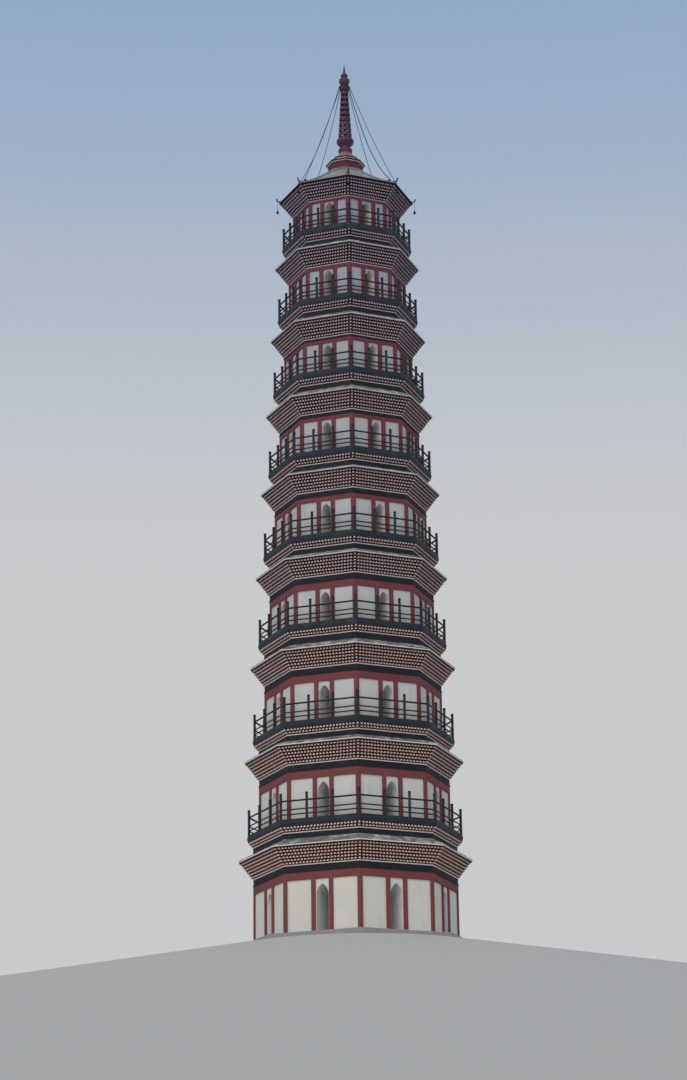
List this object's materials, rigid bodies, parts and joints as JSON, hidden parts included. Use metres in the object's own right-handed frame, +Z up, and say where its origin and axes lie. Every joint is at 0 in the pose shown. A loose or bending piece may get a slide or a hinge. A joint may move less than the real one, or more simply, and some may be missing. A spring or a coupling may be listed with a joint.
{
  "type": "pagoda, as a scale model at 1:2",
  "caption": "Tall octagonal brick pagoda with white walls, red pilasters, corbelled eaves, railed balconies and a ringed spire held by stays.",
  "frame": {"origin": "centre of the underside of the plinth, on the ground", "axes": "+Z up along the tower's axis; -Y out of the front doorways; X and Y each square to two opposite sides of the octagon"},
  "size_m": [7.2062, 7.2062, 28.12],
  "materials": {
    "white_wall": "weathered lime plaster on brick",
    "red_frame": "matt red paint on brick",
    "eave_brick": "corbelled brick, matt dark red paint",
    "cream_teeth": "matt cream paint on bricks set cornerwise",
    "light_course": "matt off-white paint on brick",
    "dark_paint": "matt dark blue paint on brick",
    "skirt_mortar": "streaked grey mortar",
    "floor_mortar": "trodden grey mortar",
    "bell_iron": "dark weathered iron",
    "base_orange": "faded orange plaster",
    "dark_railing": "satin dark paint",
    "roof_mortar": "streaked grey mortar",
    "hip_mortar": "grey mortar ridges with dark iron hooks and bells",
    "drum_red": "matt red plaster",
    "spire_metal": "weathered dark red paint",
    "stay_steel": "dull grey",
    "plinth_stone": "dressed grey stone"
  },
  "bodies": {
    "root": {"plinth": "plinth_stone", "storey_1_wall": "white_wall", "storey_1_frame": "red_frame", "storey_1_eave": "eave_brick", "storey_2_wall": "white_wall", "storey_2_frame": "red_frame", "storey_2_eave": "eave_brick", "storey_2_railing": "dark_railing", "storey_3_wall": "white_wall", "storey_3_frame": "red_frame", "storey_3_eave": "eave_brick", "storey_3_railing": "dark_railing", "storey_4_wall": "white_wall", "storey_4_frame": "red_frame", "storey_4_eave": "eave_brick", "storey_4_railing": "dark_railing", "storey_5_wall": "white_wall", "storey_5_frame": "red_frame", "storey_5_eave": "eave_brick", "storey_5_railing": "dark_railing", "storey_6_wall": "white_wall", "storey_6_frame": "red_frame", "storey_6_eave": "eave_brick", "storey_6_railing": "dark_railing", "storey_7_wall": "white_wall", "storey_7_frame": "red_frame", "storey_7_eave": "eave_brick", "storey_7_railing": "dark_railing", "storey_8_wall": "white_wall", "storey_8_frame": "red_frame", "storey_8_eave": "eave_brick", "storey_8_railing": "dark_railing", "storey_9_wall": "white_wall", "storey_9_frame": "red_frame", "storey_9_eave": "eave_brick", "storey_9_railing": "dark_railing", "roof": "roof_mortar", "roof_hips_and_bells": "hip_mortar", "spire_drum": "drum_red", "spire_base": "spire_metal", "spire_mast": "spire_metal", "spire_finial": "spire_metal", "spire_stays": "stay_steel"}
  },
  "joints": []
}
